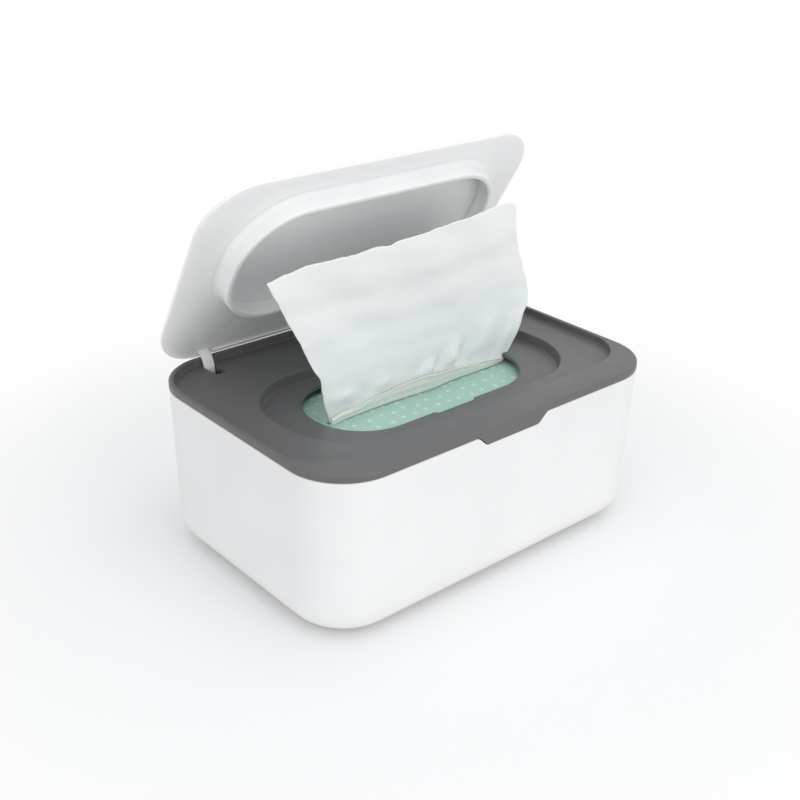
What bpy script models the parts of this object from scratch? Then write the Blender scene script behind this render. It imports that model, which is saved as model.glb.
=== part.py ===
"""Wipes dispenser: a deep box, a lift-off cover with a sealed lid, and a refill pack inside.

Real size in metres, Z up. The origin is the middle of the box's flat underside, X runs along
the length and +Y points to the hinge side. The lid stands open, as it does in use, with one
wipe drawn up through the pack's slit.

The box, the cover, the lid and the film are each one run of rounded rectangles, ring after
ring, from the outside of the moulding over its edges and back along its inside.
"""

import math
from collections import namedtuple

import bmesh
import bpy
import numpy as np
from mathutils import Matrix, Vector

# Whole object
LENGTH = 0.190
WIDTH = 0.1324
RIM_HEIGHT = 0.078
CORNER_RADIUS = 0.026
FIT_GAP = 0.0003
OVERRUN = 0.001

# Box body
WALL = 0.0020
SEAM_DROP = 0.003
DRAFT_X = 0.0012
DRAFT_Y = 0.0015
BASE_CORNER_GROWTH = 0.0015
BASE_FILLET = 0.014
BOX_LIP_ROUND = 0.0005
BOX_LEAD_IN = 0.0009

# Non-slip feet
FOOT_RADIUS = 0.006
FOOT_CHAMFER = 0.0004
FOOT_RECESS_DEPTH = 0.0007
FOOT_PROTRUSION = 0.0008
FOOT_SETBACK = 0.0095

# Cover
PLATE = 0.0018
RIM_WIDTH = 0.0024
RIM_ROUND = 0.00086
RIM_INNER_ROUND = 0.0005
FRONT_BAND = 0.0152
TRAY_DEPTH = 0.0034
TRAY_RADIUS = 0.0235
TRAY_FILLET = 0.0006
SKIRT_WALL = 0.0015
SKIRT_DEPTH = 0.007
RECESS_END_SETBACK = 0.0203
RECESS_SIDE_SETBACK = 0.0299
RECESS_END_FLAT = 0.0038
RECESS_Y = -0.0052
RECESS_DEPTH = 0.0046
RECESS_SLOPE = 0.001
RECESS_ROUND = 0.0006
OPENING_END_MARGIN = 0.0187
OPENING_SIDE_MARGIN = 0.0103
OPENING_END_FLAT = 0.0005
OPENING_Y = -0.004
OPENING_ROUND = 0.0004
NOTCH_HALF_WIDTH = 0.012
NOTCH_SLOPE = 0.002
NOTCH_DEPTH = 0.0018
POCKET_COUNT = 4
POCKET_END_SETBACK = 0.029
POCKET_RIB = 0.0012
POCKET_ROUND = 0.001
POCKET_STEP = 0.0003

# Lift tab at the front
TAB_HALF_WIDTH = 0.0208
TAB_END = 0.0069
TAB_DROP = 0.0045
TAB_THICKNESS = 0.0028

# Hinge
HINGE_SETBACK = 0.005
HINGE_DROP = 0.0104
ARM_END_SETBACK = 0.029
ARM_WIDTH = 0.005
ARM_THICKNESS = 0.0016
BOSS_RADIUS = 0.0015
EAR_RADIUS = 0.0022
STUD_RADIUS = 0.0011
STUD_SHORT = 0.0002
EAR_WALL = 0.0016
EAR_REACH = 0.0042
SLOT_ROUND = 0.0008
SLOT_FRONT_SETBACK = 0.015
SLOT_REAR_SETBACK = 0.0039
REST_OPEN_ANGLE = math.radians(59.3)

# Lid
LID_END_GAP = 0.0016
LID_SIDE_GAP_FRONT = 0.0006
LID_REAR_SETBACK = 0.0089
LID_RADIUS = 0.025
LID_THICKNESS = 0.0024
LID_RISE = 0.0022
LID_ROUND = 0.0008
LID_TAPER_WIDTH = 0.0028
LID_TAPER_RISE = 0.001
LID_TAPER_ROUND = 0.00025
DISH_WIDTH = 0.011
DISH_DEPTH = 0.0009
REAR_RIB_SETBACK = 0.0046
REAR_RIB_THICKNESS = 0.0014
REAR_RIB_DEPTH = 0.001
ARM_ROOT_SETBACK = 0.0047

# Seal ring and the rib that carries it
SEAL_END_GAP = 0.0022
SEAL_SIDE_GAP = 0.003
SEAL_END_FLAT = 0.0028
SEAL_WALL = 0.0006
SEAL_WEB = 0.0009
SEAL_ROUND = 0.0005
SEAL_TOP_GAP = 0.0008
RIB_WALL = 0.0012

# Refill pack
PACK_END_ROOM = 0.011
PACK_SIDE_ROOM = 0.0142
PACK_HEADROOM = 0.0028
PACK_RADIUS = 0.020
PACK_SHOULDER = 0.012
PACK_DOME = 0.0016
FILM = 0.00045
SLIT_X = 0.0035
SLIT_Y = -0.0035
SLIT_END_MARGIN = 0.004
SLIT_WIDTH = 0.0018
STACK_CLEARANCE = 0.005
STACK_HEADROOM = 0.004
STACK_LAYERS = 5
STACK_GROOVE = 0.001
STACK_EDGE = 0.009

# Lip of the slit, turned up in front of the wipe
LIP_HEIGHT = 0.007
LIP_THICKNESS = 0.0005
LIP_OFFSET = 0.0015
LIP_LEAN = math.radians(14)

# Wipe that stands drawn up through the slit
WIPE_END_MARGIN = 0.001
WIPE_HEIGHT = 0.075
WIPE_THICKNESS = 0.0004
WIPE_FORWARD = 0.005
WIPE_BILLOW = 0.0035
WIPE_RIPPLE = 0.0013
WIPE_COLUMNS = 30
WIPE_ROWS = 16

# Facets
CORNER_STEPS = 8
FILLET_STEPS = 5
EDGE_STEPS = 2
ROUND_SIDES = 24

# Shares of the named sizes above, chosen by eye
ARM_SHARES = ((1.0, 1.0), (1.02, 0.74), (0.88, 0.5), (0.65, 0.28), (0.37, 0.09), (0.0, 0.0))
PACK_SIDE_SHARES = ((1.0, 0.0), (0.42, 0.03), (0.08, 0.12), (0.0, 0.32), (0.0, 0.6), (0.08, 0.83),
                    (0.42, 0.93))
DOME_SHARES = ((0.0, 0.0), (0.35, 0.55), (0.75, 0.9), (1.0, 1.0))
LIP_SHARES = ((-1.0, 0.45), (-0.7, 0.6), (-0.35, 0.85), (0.0, 1.0), (0.35, 0.95), (0.7, 0.7),
              (0.93, 0.3))
WIPE_LEFT_SHARES = ((0.0, -1.0), (0.13, -1.05), (0.27, -1.08), (0.37, -1.16), (0.64, -1.35),
                    (0.92, -1.57), (1.0, -1.62))
WIPE_RIGHT_SHARES = ((0.0, 0.985), (0.05, 1.0), (0.09, 1.06), (0.29, 1.13), (0.47, 1.2),
                     (0.72, 1.06), (0.96, 0.96), (1.0, 0.94))
WIPE_TOP_SHARES = ((0.0, 0.92), (0.12, 0.947), (0.3, 0.968), (0.5, 0.99), (0.72, 1.0), (1.0, 0.99))

# Worked out from the sizes above
SEAM_HEIGHT = RIM_HEIGHT - SEAM_DROP
TRAY_HEIGHT = RIM_HEIGHT - TRAY_DEPTH
TRAY_UNDERSIDE = TRAY_HEIGHT - PLATE
RECESS_HEIGHT = TRAY_HEIGHT - RECESS_DEPTH
RECESS_UNDERSIDE = RECESS_HEIGHT - PLATE
SKIRT_BOTTOM = SEAM_HEIGHT - SKIRT_DEPTH
BOX_TOP = SEAM_HEIGHT - FIT_GAP
FRONT_Y = -WIDTH / 2
TRAY_FRONT_Y = FRONT_Y + FRONT_BAND
TRAY_REAR_Y = WIDTH / 2 - RIM_WIDTH
RECESS_LENGTH = LENGTH - 2 * RECESS_END_SETBACK
RECESS_WIDTH = WIDTH - 2 * RECESS_SIDE_SETBACK
RECESS_RADIUS = RECESS_WIDTH / 2 - RECESS_END_FLAT
OPENING_LENGTH = RECESS_LENGTH - 2 * OPENING_END_MARGIN
OPENING_WIDTH = RECESS_WIDTH - 2 * OPENING_SIDE_MARGIN
OPENING_RADIUS = OPENING_WIDTH / 2 - OPENING_END_FLAT
POCKET_SPAN = LENGTH - 2 * POCKET_END_SETBACK
HINGE = Vector((0.0, WIDTH / 2 - HINGE_SETBACK, RIM_HEIGHT - HINGE_DROP))
ARM_X = LENGTH / 2 - ARM_END_SETBACK
EAR_X = ARM_WIDTH / 2 + FIT_GAP + EAR_WALL / 2
LID_LENGTH = LENGTH - 2 * (RIM_WIDTH + LID_END_GAP)
LID_TOP = RIM_HEIGHT + LID_RISE
LID_UNDERSIDE = LID_TOP - LID_THICKNESS
LID_FRONT_Y = TRAY_FRONT_Y + LID_SIDE_GAP_FRONT
LID_REAR_Y = WIDTH / 2 - LID_REAR_SETBACK
SEAL_LENGTH = RECESS_LENGTH - 2 * SEAL_END_GAP
SEAL_WIDTH = RECESS_WIDTH - 2 * SEAL_SIDE_GAP
SEAL_RADIUS = SEAL_WIDTH / 2 - SEAL_END_FLAT
SEAL_CREST = RECESS_HEIGHT + FIT_GAP
RIB_END = SEAL_CREST + SEAL_WEB + FIT_GAP
SLIT_LENGTH = OPENING_LENGTH - 2 * SLIT_END_MARGIN
WIPE_FOOT_HALF = SLIT_LENGTH / 2 - WIPE_END_MARGIN
PACK_LENGTH = LENGTH - 2 * PACK_END_ROOM
PACK_WIDTH = WIDTH - 2 * PACK_SIDE_ROOM
PACK_BOTTOM = WALL + FIT_GAP
PACK_HEIGHT = RECESS_UNDERSIDE - PACK_HEADROOM - PACK_BOTTOM
PACK_SIDE_HEIGHT = PACK_HEIGHT - PACK_DOME
PACK_TOP = PACK_BOTTOM + PACK_HEIGHT
STACK_BOTTOM = PACK_BOTTOM + FILM + FIT_GAP
STACK_TOP = PACK_TOP - STACK_HEADROOM

# Ways to stand a flat outline up: its own x and y axes become Y and Z, or X and Z
ACROSS = Matrix(((0, 0, 1), (1, 0, 0), (0, 1, 0))).to_4x4()
FACING = Matrix(((1, 0, 0), (0, 0, -1), (0, 1, 0))).to_4x4()

Plan = namedtuple("Plan", "half_x half_y radius x y")


# Scene and helpers

def clear_scene():
    for item in list(bpy.data.objects):
        bpy.data.objects.remove(item)


def make_collection(name):
    collection = bpy.data.collections.new(name)
    bpy.context.scene.collection.children.link(collection)
    return collection


def make_material(name, colour, roughness):
    material = bpy.data.materials.new(name)
    material.use_nodes = True
    shader = material.node_tree.nodes["Principled BSDF"]
    shader.inputs["Base Color"].default_value = (*colour, 1.0)
    shader.inputs["Roughness"].default_value = roughness
    shader.inputs["Metallic"].default_value = 0.0
    material.diffuse_color = (*colour, 1.0)
    return material


def add_object(name, mesh, collection, matrix=None):
    item = bpy.data.objects.new(name, mesh)
    if matrix is not None:
        item.matrix_world = matrix
    collection.objects.link(item)
    return item


def finish_part(item, colour, roughness):
    """Give a visible piece its own material and soft shading between its sharp edges."""
    item.data.materials.clear()
    item.data.materials.append(make_material(item.name, colour, roughness))
    item.data.shade_smooth()
    item.data.set_sharp_from_angle(angle=math.radians(35))


def make_tool(item):
    """A tool shapes another piece and is not a piece itself."""
    item.hide_render = True
    item.display_type = 'WIRE'
    return item


def boolean(target, tool, operation):
    modifier = target.modifiers.new(tool.name, 'BOOLEAN')
    modifier.operation = operation
    modifier.solver = 'EXACT'
    modifier.object = tool


def edge_round(radius, steps):
    """Pairs (side, rise) along a quarter circle, from the level face to the upright one."""
    turns = [math.pi / 2 * step / steps for step in range(steps + 1)]
    return [(radius * (1 - math.sin(turn)), radius * (1 - math.cos(turn))) for turn in turns]


def plan_points(plan, inset=0.0):
    """A rounded rectangle as points, always the same number of them."""
    half_x = plan.half_x - inset
    half_y = plan.half_y - inset
    radius = min(plan.radius - inset, half_x, half_y)
    points = []
    for corner, (side_x, side_y) in enumerate(((1, 1), (-1, 1), (-1, -1), (1, -1))):
        for step in range(CORNER_STEPS + 1):
            turn = math.pi / 2 * (corner + step / CORNER_STEPS)
            x = plan.x + side_x * (half_x - radius) + radius * math.cos(turn)
            y = plan.y + side_y * (half_y - radius) + radius * math.sin(turn)
            points.append((x, y))
    return points


def ring(plan, inset, z):
    return [Vector((x, y, z)) for x, y in plan_points(plan, inset)]


def between(first, second, share):
    """A plan part of the way from one plan to another."""
    return Plan(*[a + (b - a) * share for a, b in zip(first, second)])


def loft(name, rings, collection, closed=False, origin=Vector()):
    """One closed body over a run of rings; a closed run joins its last ring to its first."""
    shape = bmesh.new()
    loops = [[shape.verts.new(point - origin) for point in points] for points in rings]
    following = loops[1:] + loops[:1] if closed else loops[1:]
    for low, high in zip(loops, following):
        for index in range(len(low)):
            after = (index + 1) % len(low)
            shape.faces.new((low[index], low[after], high[after], high[index]))
    if not closed:
        shape.faces.new(list(reversed(loops[0])))
        shape.faces.new(loops[-1])
    mesh = bpy.data.meshes.new(name)
    shape.to_mesh(mesh)
    shape.free()
    return add_object(name, mesh, collection)


def slab(name, outline, thickness, collection, matrix=None):
    """A flat outline given half its thickness each way, as a mesh with welded caps."""
    curve = bpy.data.curves.new(name, 'CURVE')
    curve.dimensions = '2D'
    curve.fill_mode = 'BOTH'
    curve.extrude = thickness / 2
    spline = curve.splines.new('POLY')
    spline.points.add(len(outline) - 1)
    for point, (x, y) in zip(spline.points, outline):
        point.co = (x, y, 0.0, 1.0)
    spline.use_cyclic_u = True
    guide = add_object(name, curve, collection)
    graph = bpy.context.evaluated_depsgraph_get()
    mesh = bpy.data.meshes.new_from_object(guide.evaluated_get(graph))
    bpy.data.objects.remove(guide)
    shape = bmesh.new()
    shape.from_mesh(mesh)
    bmesh.ops.remove_doubles(shape, verts=shape.verts, dist=FIT_GAP / 100)
    bmesh.ops.recalc_face_normals(shape, faces=shape.faces)
    shape.to_mesh(mesh)
    shape.free()
    mesh.name = name
    return add_object(name, mesh, collection, matrix)


def cylinder(name, radius, length, collection, matrix, end_radius=None):
    shape = bmesh.new()
    other_radius = radius if end_radius is None else end_radius
    bmesh.ops.create_cone(shape, cap_ends=True, segments=ROUND_SIDES, radius1=other_radius,
                          radius2=radius, depth=length)
    mesh = bpy.data.meshes.new(name)
    shape.to_mesh(mesh)
    shape.free()
    return add_object(name, mesh, collection, matrix)


def smooth_table(shares, place):
    """Read a table of shares at one place."""
    places, values = zip(*shares)
    return float(np.interp(place, places, values))


def smooth_path(points, steps):
    """A Catmull-Rom curve through flat points."""
    padded = [2 * points[0] - points[1], *points, 2 * points[-1] - points[-2]]
    path = []
    for before, start, end, after in zip(padded, padded[1:], padded[2:], padded[3:]):
        for step in range(steps):
            t = step / steps
            path.append(0.5 * (2 * start + (end - before) * t
                               + (2 * before - 5 * start + 4 * end - after) * t ** 2
                               + (3 * start - before - 3 * end + after) * t ** 3))
    path.append(points[-1])
    return path


def strip_outline(path, width):
    """The outline of a strip of one width that follows a flat path."""
    left, right = [], []
    for index, point in enumerate(path):
        along = (path[min(index + 1, len(path) - 1)] - path[max(index - 1, 0)]).normalized()
        side = Vector((-along.y, along.x)) * width / 2
        left.append(tuple(point + side))
        right.append(tuple(point - side))
    return left + right[::-1]


def place(x, y, z):
    return Matrix.Translation((x, y, z))


# Box body

def box_plan(z):
    """The box's outside at one height: it draws in towards its base, with rounder corners."""
    drop = 1 - z / RIM_HEIGHT
    return Plan(LENGTH / 2 - DRAFT_X * drop, WIDTH / 2 - DRAFT_Y * drop,
                CORNER_RADIUS + BASE_CORNER_GROWTH * drop, 0.0, 0.0)


def foot_places():
    """The four corners of the flat part of the underside, each with its name."""
    base = box_plan(0.0)
    x = base.half_x - BASE_FILLET - FOOT_SETBACK
    y = base.half_y - BASE_FILLET - FOOT_SETBACK
    return (("front_left", -x, -y), ("front_right", x, -y), ("rear_left", -x, y),
            ("rear_right", x, y))


def tab_outline(gap):
    """The lift tab seen from the front, or its notch in the wall when given a gap."""
    steps = CORNER_STEPS
    top = SEAM_HEIGHT + OVERRUN
    right = [(TAB_HALF_WIDTH + gap, top)]
    for step in range(steps + 1):
        t = step / steps
        ease = t * t * (3 - 2 * t)
        right.append((TAB_HALF_WIDTH + gap - TAB_END * t, SEAM_HEIGHT - gap - TAB_DROP * ease))
    return right + [(-x, z) for x, z in reversed(right)]


def make_box(parts, tools):
    rings = [ring(box_plan(rise), side, rise) for side, rise in edge_round(BASE_FILLET, FILLET_STEPS)]
    for side, rise in reversed(edge_round(BOX_LIP_ROUND, EDGE_STEPS)):
        rings.append(ring(box_plan(BOX_TOP - rise), side, BOX_TOP - rise))
    for side, rise in edge_round(BOX_LEAD_IN, EDGE_STEPS):
        rings.append(ring(box_plan(BOX_TOP - rise), WALL - side, BOX_TOP - rise))
    for side, rise in reversed(edge_round(BASE_FILLET - WALL, FILLET_STEPS)):
        rings.append(ring(box_plan(WALL + rise), WALL + side, WALL + rise))
    box = loft("box_body", rings, parts)

    notch_depth = WALL + 2 * OVERRUN
    notch_y = FRONT_Y - OVERRUN + notch_depth / 2
    notch = slab("tab_notch", tab_outline(FIT_GAP), notch_depth, tools, place(0, notch_y, 0) @ FACING)
    boolean(box, make_tool(notch), 'DIFFERENCE')

    for name, x, y in foot_places():
        depth = FOOT_RECESS_DEPTH + OVERRUN
        recess = cylinder("foot_recess_" + name, FOOT_RADIUS + FIT_GAP, depth, tools,
                          place(x, y, FOOT_RECESS_DEPTH - depth / 2))
        boolean(box, make_tool(recess), 'DIFFERENCE')
    finish_part(box, (0.80, 0.80, 0.80), 0.42)


def make_feet(parts):
    thickness = FOOT_RECESS_DEPTH - FIT_GAP + FOOT_PROTRUSION
    for name, x, y in foot_places():
        foot = cylinder("foot_" + name, FOOT_RADIUS, thickness, parts,
                        place(x, y, thickness / 2 - FOOT_PROTRUSION), FOOT_RADIUS - FOOT_CHAMFER)
        finish_part(foot, (0.60, 0.60, 0.59), 0.85)


# Cover

def make_cover(parts, tools):
    outer = Plan(LENGTH / 2, WIDTH / 2, CORNER_RADIUS, 0.0, 0.0)
    tray = Plan(LENGTH / 2 - RIM_WIDTH, (TRAY_REAR_Y - TRAY_FRONT_Y) / 2, TRAY_RADIUS,
                0.0, (TRAY_REAR_Y + TRAY_FRONT_Y) / 2)
    recess = Plan(RECESS_LENGTH / 2, RECESS_WIDTH / 2, RECESS_RADIUS, 0.0, RECESS_Y)
    opening = Plan(OPENING_LENGTH / 2, OPENING_WIDTH / 2, OPENING_RADIUS, 0.0, OPENING_Y)

    rings = [ring(outer, 0.0, SEAM_HEIGHT)]
    for side, rise in reversed(edge_round(RIM_ROUND, EDGE_STEPS + 1)):
        rings.append(ring(outer, side, RIM_HEIGHT - rise))
    for side, rise in edge_round(RIM_INNER_ROUND, EDGE_STEPS):
        rings.append(ring(tray, -side, RIM_HEIGHT - rise))
    for side, rise in reversed(edge_round(TRAY_FILLET, EDGE_STEPS)):
        rings.append(ring(tray, side, TRAY_HEIGHT + rise))
    for side, rise in edge_round(RECESS_ROUND, EDGE_STEPS):
        rings.append(ring(recess, -side, TRAY_HEIGHT - rise))
    for side, rise in reversed(edge_round(RECESS_ROUND, EDGE_STEPS)):
        rings.append(ring(recess, RECESS_SLOPE + side, RECESS_HEIGHT + rise))
    for side, rise in edge_round(OPENING_ROUND, EDGE_STEPS):
        rings.append(ring(opening, -side, RECESS_HEIGHT - rise))
    rings.append(ring(opening, 0.0, RECESS_UNDERSIDE))
    for side, rise in edge_round(RECESS_ROUND + PLATE, EDGE_STEPS):
        rings.append(ring(recess, RECESS_SLOPE - PLATE + side, RECESS_UNDERSIDE + rise))
    rings.append(ring(recess, -PLATE, TRAY_UNDERSIDE))
    inner_inset = WALL + FIT_GAP + SKIRT_WALL
    rings.append(ring(box_plan(SEAM_HEIGHT), inner_inset, TRAY_UNDERSIDE))
    rings.append(ring(box_plan(SKIRT_BOTTOM), inner_inset, SKIRT_BOTTOM))
    rings.append(ring(box_plan(SKIRT_BOTTOM), WALL + FIT_GAP, SKIRT_BOTTOM))
    rings.append(ring(box_plan(SEAM_HEIGHT), WALL + FIT_GAP, SEAM_HEIGHT))
    cover = loft("top_cover", rings, parts, closed=True)

    tab_y = FRONT_Y + TAB_THICKNESS / 2
    tab = slab("lift_tab", tab_outline(0.0), TAB_THICKNESS, tools, place(0, tab_y, 0) @ FACING)
    boolean(cover, make_tool(tab), 'UNION')
    cut_front_pockets(cover, tools, inner_inset)
    cut_opening_notch(cover, tools)
    for side, sign in (("left", -1), ("right", 1)):
        add_hinge_seat(cover, tools, side, sign * ARM_X)
    finish_part(cover, (0.135, 0.135, 0.137), 0.42)


def cut_front_pockets(cover, tools, inner_inset):
    """Hollows under the thick front band, with ribs left between them."""
    width = (POCKET_SPAN - POCKET_RIB * (POCKET_COUNT - 1)) / POCKET_COUNT
    front = FRONT_Y + inner_inset + POCKET_STEP
    rear = TRAY_FRONT_Y - PLATE
    ceiling = RIM_HEIGHT - PLATE
    floor = TRAY_UNDERSIDE - OVERRUN
    for index in range(POCKET_COUNT):
        x = (index - (POCKET_COUNT - 1) / 2) * (width + POCKET_RIB)
        plan = Plan(width / 2, (rear - front) / 2, POCKET_ROUND, x, (rear + front) / 2)
        pocket = loft("front_pocket_%d" % index, [ring(plan, 0.0, floor), ring(plan, 0.0, ceiling)], tools)
        boolean(cover, make_tool(pocket), 'DIFFERENCE')


def cut_opening_notch(cover, tools):
    """A shallow finger notch in the front edge of the opening."""
    edge = OPENING_Y - OPENING_WIDTH / 2
    inside = edge + OVERRUN
    outline = [(NOTCH_HALF_WIDTH, inside), (NOTCH_HALF_WIDTH, edge),
               (NOTCH_HALF_WIDTH - NOTCH_SLOPE, edge - NOTCH_DEPTH)]
    outline += [(-x, y) for x, y in reversed(outline)]
    middle = (RECESS_HEIGHT + RECESS_UNDERSIDE) / 2
    notch = slab("opening_notch", outline, PLATE + 2 * OVERRUN, tools, place(0, 0, middle))
    boolean(cover, make_tool(notch), 'DIFFERENCE')


def add_hinge_seat(cover, tools, side, x):
    """Two ears under the tray, with the slot in the tray floor that the lid's arm dips through."""
    top = TRAY_UNDERSIDE + PLATE / 2
    turns = [math.radians(200 + 160 * step / CORNER_STEPS) for step in range(CORNER_STEPS + 1)]
    outline = [(HINGE.y + EAR_RADIUS * math.cos(turn), HINGE.z + EAR_RADIUS * math.sin(turn))
               for turn in turns]
    outline += [(HINGE.y + EAR_RADIUS, top), (HINGE.y - EAR_REACH, top)]
    for name, offset in (("inner", -EAR_X), ("outer", EAR_X)):
        ear = slab("ear_%s_%s" % (side, name), outline, EAR_WALL, tools, place(x + offset, 0, 0) @ ACROSS)
        boolean(cover, make_tool(ear), 'UNION')

    width = ARM_WIDTH + 2 * FIT_GAP
    front = WIDTH / 2 - SLOT_FRONT_SETBACK
    rear = WIDTH / 2 - SLOT_REAR_SETBACK
    slot_plan = Plan(width / 2, (rear - front) / 2, SLOT_ROUND, x, (rear + front) / 2)
    slot = loft("arm_slot_" + side, [ring(slot_plan, 0.0, TRAY_UNDERSIDE - OVERRUN),
                                     ring(slot_plan, 0.0, TRAY_HEIGHT + OVERRUN)], tools)
    boolean(cover, make_tool(slot), 'DIFFERENCE')

    skirt_plan = Plan(width / 2, SKIRT_WALL + OVERRUN, SLOT_ROUND, x, WIDTH / 2 - WALL - SKIRT_WALL / 2)
    gap = loft("skirt_gap_" + side, [ring(skirt_plan, 0.0, SKIRT_BOTTOM - OVERRUN),
                                     ring(skirt_plan, 0.0, TRAY_UNDERSIDE)], tools)
    boolean(cover, make_tool(gap), 'DIFFERENCE')

    length = 2 * (EAR_X + EAR_WALL)
    bore = cylinder("hinge_bore_" + side, STUD_RADIUS + FIT_GAP, length, tools,
                    place(x, HINGE.y, HINGE.z) @ ACROSS)
    boolean(cover, make_tool(bore), 'DIFFERENCE')


# Lid with its arms

def make_lid(parts, tools, hinge_axis):
    """The lid is drawn shut, about its hinge axis, and then hung open on it."""
    lid_plan = Plan(LID_LENGTH / 2, (LID_REAR_Y - LID_FRONT_Y) / 2, LID_RADIUS,
                    0.0, (LID_REAR_Y + LID_FRONT_Y) / 2)
    seal = Plan(SEAL_LENGTH / 2, SEAL_WIDTH / 2, SEAL_RADIUS, 0.0, RECESS_Y)
    rib_outer = SEAL_WALL + FIT_GAP
    rib_inner = rib_outer + RIB_WALL
    taper_top = LID_UNDERSIDE + LID_TAPER_RISE

    rings = [ring(seal, rib_inner + DISH_WIDTH, LID_UNDERSIDE + DISH_DEPTH)]
    rings.append(ring(seal, rib_inner + DISH_WIDTH / 2, LID_UNDERSIDE + DISH_DEPTH * 0.6))
    rings.append(ring(seal, rib_inner, LID_UNDERSIDE))
    rings.append(ring(seal, rib_inner, RIB_END))
    rings.append(ring(seal, rib_outer, RIB_END))
    rings.append(ring(seal, rib_outer, LID_UNDERSIDE))
    rings.append(ring(lid_plan, LID_TAPER_WIDTH, LID_UNDERSIDE))
    rings.append(ring(lid_plan, LID_TAPER_ROUND, taper_top - LID_TAPER_ROUND))
    rings.append(ring(lid_plan, 0.0, taper_top))
    for side, rise in reversed(edge_round(LID_ROUND, EDGE_STEPS + 1)):
        rings.append(ring(lid_plan, side, LID_TOP - rise))
    lid = loft("lid", rings, parts, origin=HINGE)
    lid.parent = hinge_axis

    for side, sign in (("left", -1), ("right", 1)):
        for tool in arm_tools(tools, side, sign * ARM_X):
            tool.parent = hinge_axis
            boolean(lid, make_tool(tool), 'UNION')
    rib_length = 2 * (ARM_X - ARM_WIDTH)
    rib_y = LID_REAR_Y - REAR_RIB_SETBACK + REAR_RIB_THICKNESS / 2
    rib_plan = Plan(rib_length / 2, REAR_RIB_THICKNESS / 2, REAR_RIB_THICKNESS / 4, 0.0, rib_y)
    rib = loft("rear_rib", [ring(rib_plan, 0.0, LID_UNDERSIDE - REAR_RIB_DEPTH),
                            ring(rib_plan, 0.0, LID_UNDERSIDE + LID_THICKNESS / 2)], tools, origin=HINGE)
    rib.parent = hinge_axis
    boolean(lid, make_tool(rib), 'UNION')
    finish_part(lid, (0.80, 0.80, 0.80), 0.42)

    ring_top = LID_UNDERSIDE - SEAL_TOP_GAP
    seal_rings = [ring(seal, 0.0, ring_top)]
    channel = SEAL_WALL
    inner = 2 * (SEAL_WALL + FIT_GAP) + RIB_WALL
    seal_rings.append(ring(seal, channel, ring_top))
    seal_rings.append(ring(seal, channel, SEAL_CREST + SEAL_WEB))
    seal_rings.append(ring(seal, inner - channel, SEAL_CREST + SEAL_WEB))
    seal_rings.append(ring(seal, inner - channel, ring_top))
    seal_rings.append(ring(seal, inner, ring_top))
    for side, rise in reversed(edge_round(SEAL_ROUND, EDGE_STEPS)):
        seal_rings.append(ring(seal, inner - side, SEAL_CREST + rise))
    for side, rise in edge_round(SEAL_ROUND, EDGE_STEPS):
        seal_rings.append(ring(seal, side, SEAL_CREST + rise))
    gasket = loft("lid_seal_ring", seal_rings, parts, closed=True, origin=HINGE)
    gasket.parent = hinge_axis
    finish_part(gasket, (0.74, 0.74, 0.74), 0.55)


def arm_tools(tools, side, x):
    """A goose-necked arm, the boss at its foot and the studs that snap into the ears."""
    reach = HINGE_SETBACK - LID_REAR_SETBACK - ARM_ROOT_SETBACK
    climb = LID_UNDERSIDE + LID_TAPER_RISE / 2 - HINGE.z
    path = smooth_path([Vector((reach * a, climb * b)) for a, b in ARM_SHARES], EDGE_STEPS + 1)
    strap = slab("arm_strap_" + side, strip_outline(path, ARM_THICKNESS), ARM_WIDTH, tools,
                 place(x, 0, 0) @ ACROSS)
    boss = cylinder("arm_boss_" + side, BOSS_RADIUS, ARM_WIDTH, tools, place(x, 0, 0) @ ACROSS)
    stud_length = ARM_WIDTH + 2 * (FIT_GAP + EAR_WALL - STUD_SHORT)
    stud = cylinder("arm_stud_" + side, STUD_RADIUS, stud_length, tools, place(x, 0, 0) @ ACROSS)
    return strap, boss, stud


# Refill pack

def pack_plans():
    """The film's plan, inset and height from its flat bottom up to the slit."""
    pack = Plan(PACK_LENGTH / 2, PACK_WIDTH / 2, PACK_RADIUS, 0.0, 0.0)
    shoulder = Plan(pack.half_x - PACK_SHOULDER, pack.half_y - PACK_SHOULDER,
                    pack.radius - PACK_SHOULDER, 0.0, 0.0)
    slit = Plan(SLIT_LENGTH / 2, SLIT_WIDTH / 2, SLIT_WIDTH / 3, SLIT_X, SLIT_Y)
    plans = [(pack, PACK_SHOULDER * side, PACK_SIDE_HEIGHT * up) for side, up in PACK_SIDE_SHARES]
    plans += [(between(shoulder, slit, inward), 0.0, PACK_SIDE_HEIGHT + PACK_DOME * up)
              for inward, up in DOME_SHARES]
    return plans


def make_pack(parts):
    plans = pack_plans()
    rings = [ring(plan, inset, PACK_BOTTOM + height) for plan, inset, height in plans]
    squeeze = 1 - 2 * FILM / PACK_HEIGHT
    slit_plan, _, slit_height = plans[-1]
    rings.append(ring(slit_plan, 0.0, PACK_BOTTOM + FILM + slit_height * squeeze))
    for plan, inset, height in reversed(plans[:-1]):
        rings.append(ring(plan, inset + FILM, PACK_BOTTOM + FILM + height * squeeze))
    pack = loft("wipes_pack", rings, parts)
    finish_part(pack, (0.39, 0.60, 0.52), 0.38)


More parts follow.
